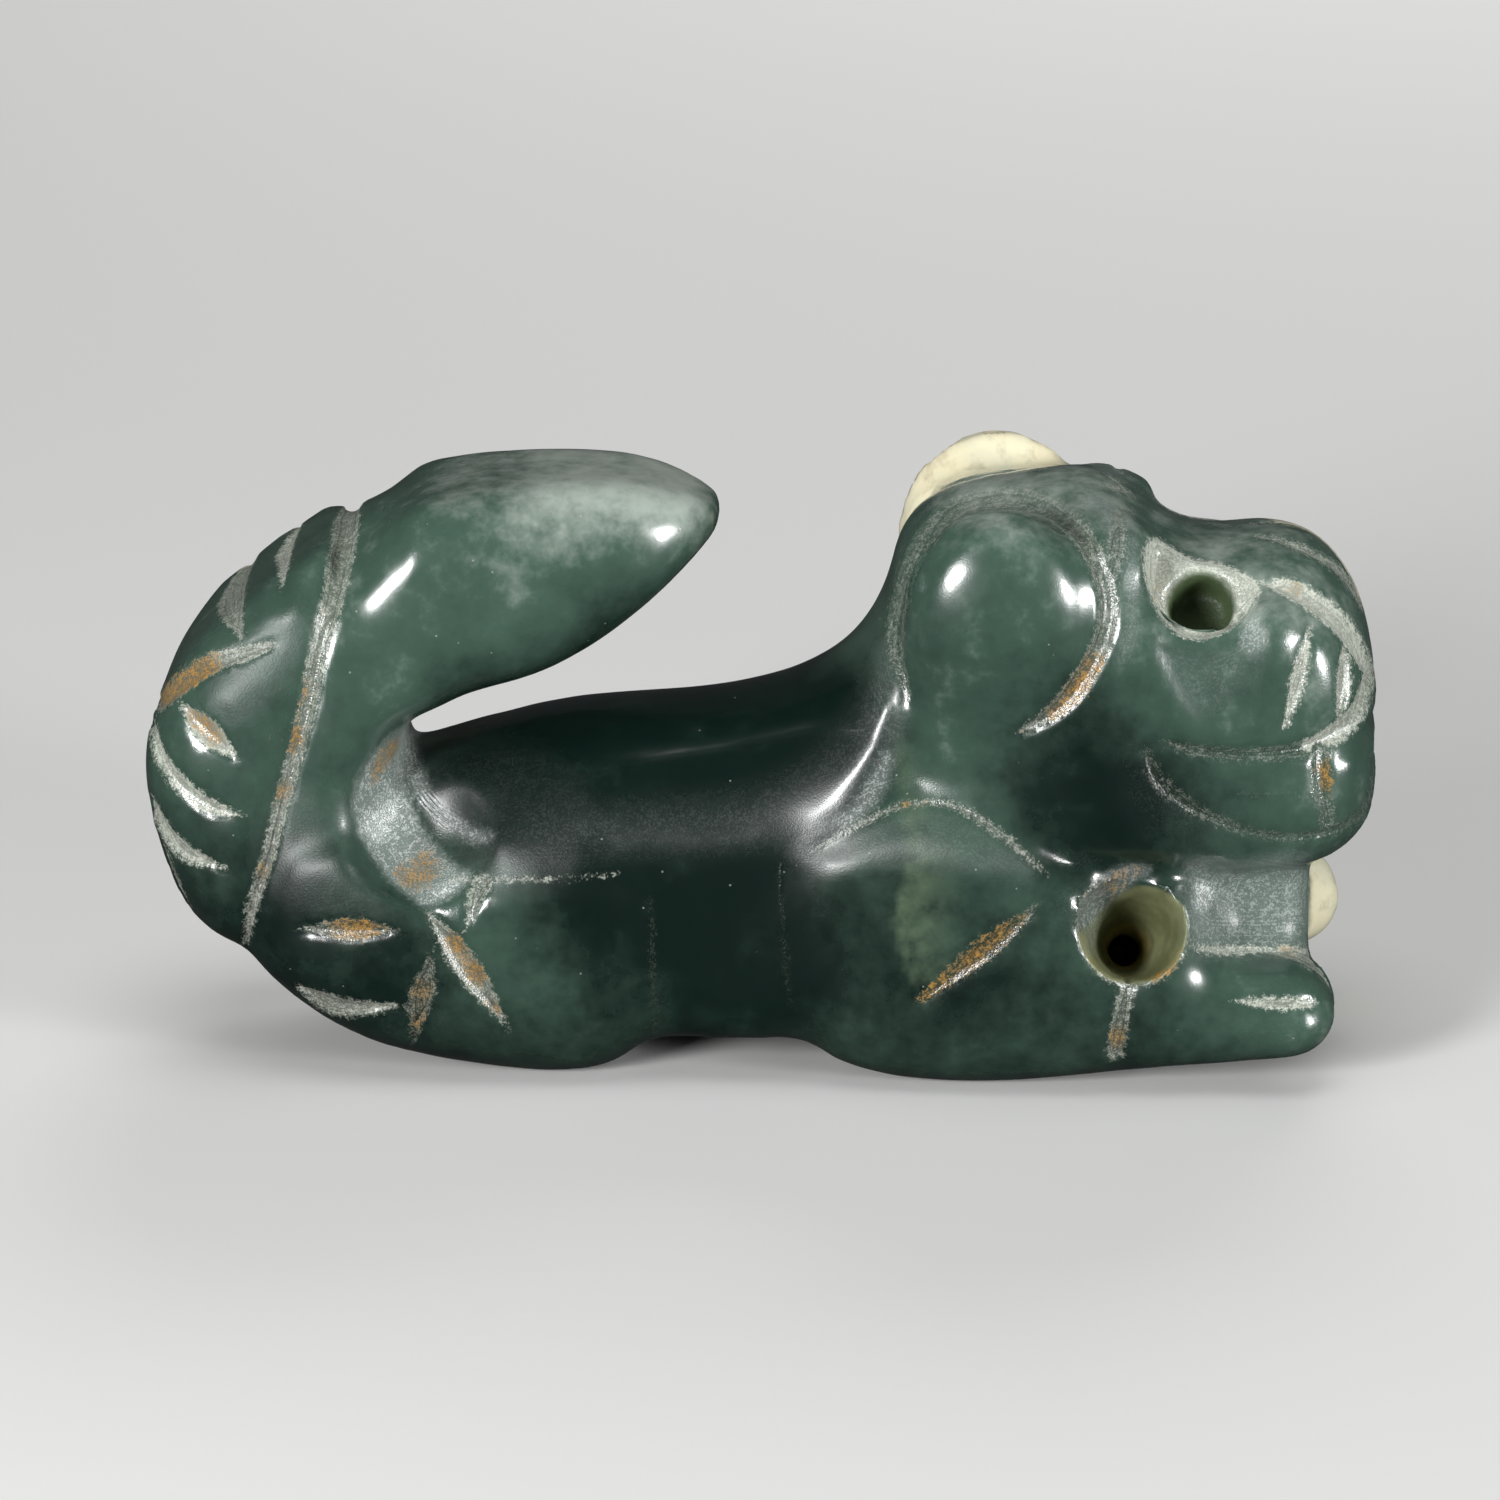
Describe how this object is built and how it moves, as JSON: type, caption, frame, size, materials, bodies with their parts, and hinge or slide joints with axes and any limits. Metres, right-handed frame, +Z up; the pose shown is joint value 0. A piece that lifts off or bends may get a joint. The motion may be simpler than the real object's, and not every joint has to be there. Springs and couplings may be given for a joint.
{
  "type": "jade big cat pendant",
  "caption": "Crouching big cat carved in jade as a pendant, tail curled over its back, with boss ears, drilled eyes, ground stripe lines and a slanted cord hole through the chest.",
  "frame": {"origin": "centre of the bounding box's bottom face, on the surface that the haunches and elbows rest on", "axes": "+X is the way the cat faces, +Y is its left side, +Z is up; the right side is the one in the picture"},
  "size_m": [0.0636, 0.0212, 0.0311],
  "materials": {
    "jade": "polished, with ground lines left matt"
  },
  "bodies": {
    "root": {"big_cat": "jade"}
  },
  "joints": []
}
